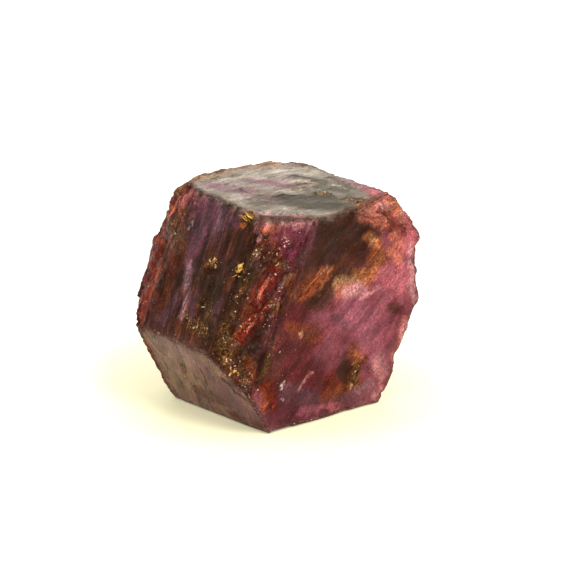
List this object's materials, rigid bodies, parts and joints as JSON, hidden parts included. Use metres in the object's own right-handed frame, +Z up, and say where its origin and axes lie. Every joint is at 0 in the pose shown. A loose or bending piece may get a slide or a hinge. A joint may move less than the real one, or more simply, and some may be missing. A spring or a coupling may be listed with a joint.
{
  "type": "raw ruby crystal",
  "caption": "Rough natural ruby crystal, a short barrel-shaped hexagonal prism lying on one of its long faces, with worn, chipped edges and flat growth-stepped faces.",
  "frame": {"origin": "on the resting surface, under the centre of the crystal's overall box", "axes": "+Z up; +Y along the crystal's own c axis, away from its front basal face; +X across the hexagonal section, to the right when the front basal face is seen straight on"},
  "size_m": [0.0178, 0.0132, 0.0155],
  "materials": {
    "ruby": "rough-grown, slightly translucent, purple-red and iron brown, with a soft satin sheen on its flat faces"
  },
  "bodies": {
    "root": {"ruby_crystal": "ruby"}
  },
  "joints": []
}
